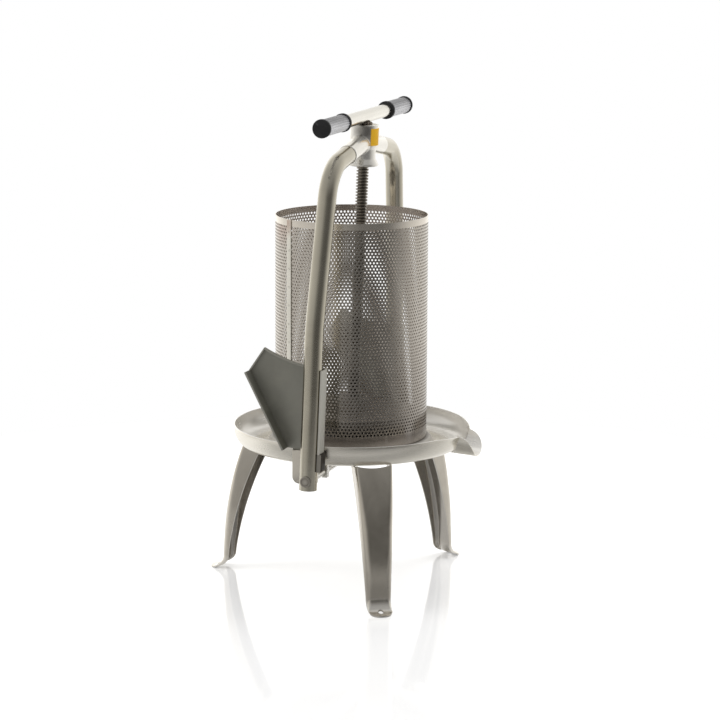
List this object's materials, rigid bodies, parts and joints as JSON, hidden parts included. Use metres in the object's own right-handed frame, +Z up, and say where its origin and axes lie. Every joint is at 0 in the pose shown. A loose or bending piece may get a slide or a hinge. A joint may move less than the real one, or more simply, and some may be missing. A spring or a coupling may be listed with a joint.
{
  "type": "fruit press",
  "caption": "Basket press for fruit: perforated basket in a lipped juice tray on legs, with a swing-over yoke whose screw and cross handle drive the press plate.",
  "frame": {"origin": "on the floor under the basket's axis, at the centre of the circle of the three foot bolts", "axes": "+Z up along the basket's axis, +X towards the pouring lip, -Y towards the front arm"},
  "size_m": [0.375, 0.378, 0.6306],
  "materials": {
    "tray_steel": "satin",
    "leg_steel": "satin",
    "tube_steel": "polished",
    "stop_steel": "matt",
    "bar_steel": "turned",
    "buffer_rubber": "matt",
    "head_metal": "bright plated",
    "bronze": "turned",
    "label_yellow": "plain film",
    "screw_steel": "oiled",
    "handle_chrome": "bright",
    "grip_plastic": "ribbed",
    "plate_steel": "satin",
    "basket_steel": "satin, perforated"
  },
  "bodies": {
    "base": {"juice_tray": "tray_steel", "leg_front": "leg_steel", "leg_back": "leg_steel", "leg_left": "leg_steel", "pivot_shaft": "bar_steel", "shaft_saddle_front": "leg_steel", "shaft_saddle_back": "leg_steel", "hinge_bracket_front": "stop_steel", "hinge_bracket_back": "stop_steel", "stop_plate_front": "stop_steel", "stop_plate_back": "stop_steel", "stop_buffer_front": "buffer_rubber", "stop_buffer_back": "buffer_rubber", "hinge_pin_front": "bar_steel", "hinge_pin_back": "bar_steel"},
    "yoke": {"yoke_arm_front": "tube_steel", "yoke_arm_back": "tube_steel", "pivot_bush_front": "bronze", "pivot_bush_back": "bronze", "head_casting": "head_metal", "screw_nut": "bronze", "head_label": "label_yellow"},
    "carriage": {"press_plate": "plate_steel", "plate_hub": "plate_steel", "thrust_washer": "bronze", "hub_retainer": "plate_steel"},
    "screw": {"screw": "screw_steel", "handle_tube": "handle_chrome", "grip_front": "grip_plastic", "grip_back": "grip_plastic"},
    "basket": {"basket_wall": "basket_steel", "basket_seam": "basket_steel"}
  },
  "joints": [
    {"name": "yoke_tilt", "type": "hinge", "parent": "base", "child": "yoke", "pos_m": [0, 0, 0.1725], "axis": [0, 1, 0], "range_deg": [-16, 0]},
    {"name": "press_travel", "type": "slide", "parent": "yoke", "child": "carriage", "axis": [0.0384, 0, 0.9993], "range_m": [0, 0.302]},
    {"name": "screw_spin", "type": "hinge", "parent": "carriage", "child": "screw", "pos_m": [0, 0, 0.1725], "axis": [0.0384, 0, 0.9993], "range_deg": [0, 27000]},
    {"name": "basket_lift", "type": "slide", "parent": "base", "child": "basket", "axis": [0, 0, 1], "range_m": [0, 0.012]}
  ],
  "couplings": [
    {"joint": "press_travel", "follows": "screw_spin", "m_per_rad": 0.00063662}
  ]
}
